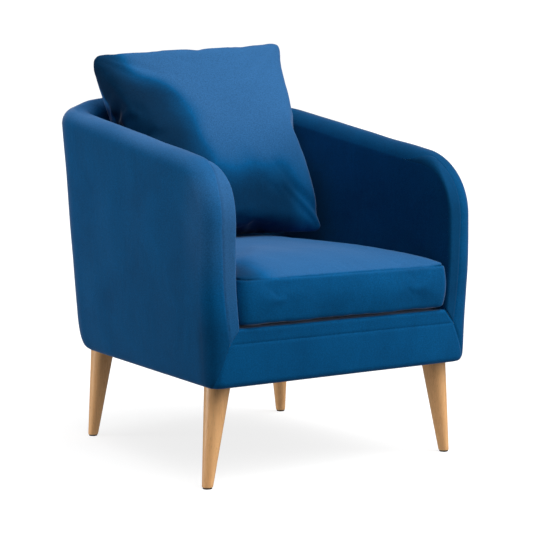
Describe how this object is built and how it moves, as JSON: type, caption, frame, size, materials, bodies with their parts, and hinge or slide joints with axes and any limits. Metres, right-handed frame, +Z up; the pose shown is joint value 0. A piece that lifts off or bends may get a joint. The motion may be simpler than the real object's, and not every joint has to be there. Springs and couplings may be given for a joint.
{
  "type": "upholstered armchair",
  "caption": "Tub armchair in blue velvet on splayed tapered round wooden legs, with a loose box seat cushion and a loose scatter cushion leaning in the back.",
  "frame": {"origin": "on the floor, under the middle of the chair's bounding box", "axes": "+X to the right seen from the front, +Y to the back, +Z up; the chair faces -Y"},
  "size_m": [0.6712, 0.7101, 0.886],
  "materials": {
    "velvet": "matte",
    "leg_wood": "satin",
    "glide_plastic": "matte",
    "plated_steel": "satin",
    "spring_steel": "satin",
    "frame_wood": "matte",
    "frame_plywood": "matte",
    "fibreboard": "matte",
    "foam": "matte",
    "fibre_fill": "matte",
    "deck_cloth": "matte",
    "dust_cloth": "matte",
    "zip_tape": "matte",
    "zip_metal": "satin"
  },
  "bodies": {
    "chair_frame": {"leg_front_left": "leg_wood", "leg_front_right": "leg_wood", "leg_rear_left": "leg_wood", "leg_rear_right": "leg_wood", "foot_glides": "glide_plastic", "hanger_bolts": "plated_steel", "tee_nuts": "plated_steel", "spring_clips": "plated_steel", "seat_springs": "spring_steel", "front_rail": "frame_wood", "rear_rail": "frame_wood", "side_rail_left": "frame_wood", "side_rail_right": "frame_wood", "leg_block_front_left": "frame_wood", "leg_block_front_right": "frame_wood", "leg_block_rear_left": "frame_wood", "leg_block_rear_right": "frame_wood", "arm_panel_left": "frame_plywood", "arm_panel_right": "frame_plywood", "corner_post_left": "frame_plywood", "corner_post_right": "frame_plywood", "back_top_rail": "frame_plywood", "back_bottom_rail": "frame_plywood", "back_slats": "frame_plywood", "outside_board_left": "fibreboard", "outside_board_right": "fibreboard", "outside_board_back": "fibreboard", "arm_padding_left": "foam", "arm_padding_right": "foam", "back_padding": "foam", "front_rail_padding": "foam", "deck_pad": "foam", "deck_cover": "deck_cloth", "dust_cover": "dust_cloth", "outside_cover_left": "velvet", "outside_cover_right": "velvet", "outside_cover_back": "velvet", "inside_cover_left": "velvet", "inside_cover_right": "velvet", "inside_cover_back": "velvet", "facing_band_left": "velvet", "facing_band_right": "velvet", "facing_band_rail": "velvet", "front_border": "velvet", "front_corner_covers": "velvet"},
    "seat_cushion": {"seat_cushion_foam": "foam", "seat_cushion_cover": "velvet", "seat_cushion_zip": "zip_tape"},
    "seat_zip_slider": {"seat_cushion_zip_slider": "zip_metal"},
    "back_pillow": {"back_pillow_fill": "fibre_fill", "back_pillow_cover": "velvet", "back_pillow_zip": "zip_tape"},
    "pillow_zip_slider": {"back_pillow_zip_slider": "zip_metal"}
  },
  "joints": [
    {"name": "seat_cushion_pull_out", "type": "slide", "parent": "chair_frame", "child": "seat_cushion", "axis": [0, -1, 0], "range_m": [0, 0.62]},
    {"name": "back_pillow_lift_out", "type": "slide", "parent": "chair_frame", "child": "back_pillow", "axis": [0, 0, 1], "range_m": [0, 0.45]},
    {"name": "seat_zip", "type": "slide", "parent": "seat_cushion", "child": "seat_zip_slider", "axis": [1, 0, 0], "range_m": [0, 0.216]},
    {"name": "pillow_zip", "type": "slide", "parent": "back_pillow", "child": "pillow_zip_slider", "axis": [1, 0, 0], "range_m": [0, 0.236]}
  ]
}
